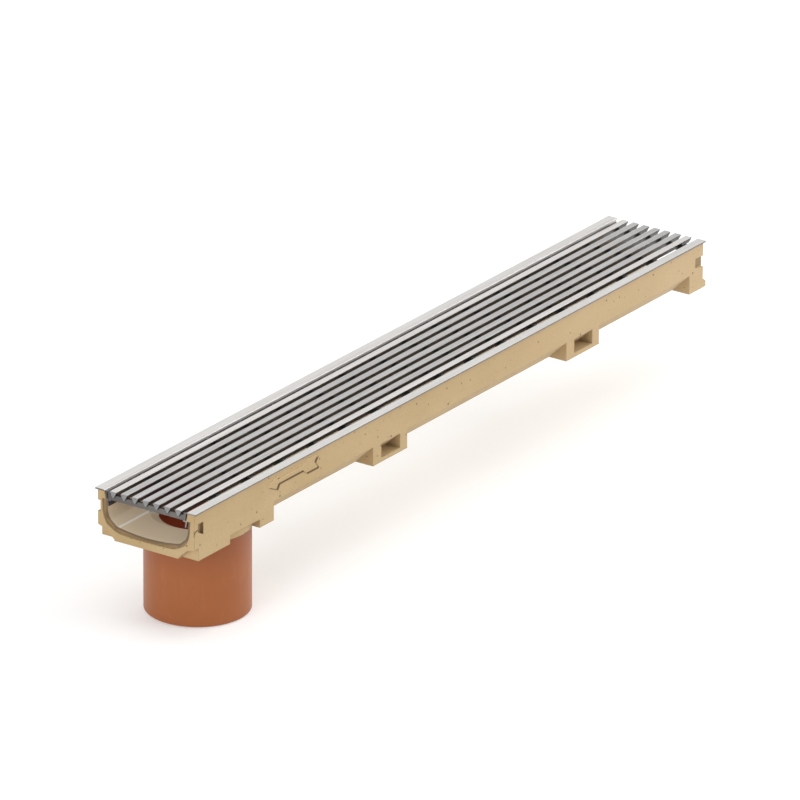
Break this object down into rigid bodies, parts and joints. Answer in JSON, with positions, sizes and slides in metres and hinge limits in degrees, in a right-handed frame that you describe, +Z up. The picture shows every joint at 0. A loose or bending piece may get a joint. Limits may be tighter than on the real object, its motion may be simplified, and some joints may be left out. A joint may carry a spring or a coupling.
{
  "type": "linear drainage channel",
  "caption": "Low concrete drainage channel with metal edge rails, a grating of wedge bars and a pipe socket for a vertical outlet.",
  "frame": {"origin": "middle of the joint plane at the outlet end, where the edge rails of two channels butt, on the plane that the feet stand on", "axes": "+X along the channel away from the outlet end, +Z up, the side with the flow arrow faces -Y"},
  "size_m": [1.0047, 0.135, 0.1585],
  "materials": {
    "polymer_concrete": "matte",
    "rail_steel": "satin",
    "grating_steel": "brushed",
    "support_steel": "matte",
    "pipe_plastic": "satin"
  },
  "bodies": {
    "root": {"channel_body": "polymer_concrete", "edge_rail_front": "rail_steel", "edge_rail_back": "rail_steel", "outlet_spigot": "pipe_plastic", "grating_bar_1": "grating_steel", "grating_bar_2": "grating_steel", "grating_bar_3": "grating_steel", "grating_bar_4": "grating_steel", "grating_bar_5": "grating_steel", "grating_bar_6": "grating_steel", "grating_bar_7": "grating_steel", "cross_support_01": "support_steel", "cross_support_02": "support_steel", "cross_support_03": "support_steel", "cross_support_04": "support_steel", "cross_support_05": "support_steel", "cross_support_06": "support_steel", "cross_support_07": "support_steel", "cross_support_08": "support_steel", "cross_support_09": "support_steel", "cross_support_10": "support_steel", "cross_support_11": "support_steel", "cross_support_12": "support_steel", "cross_support_13": "support_steel", "cross_support_14": "support_steel", "cross_support_15": "support_steel", "cross_support_16": "support_steel", "cross_support_17": "support_steel"}
  },
  "joints": []
}
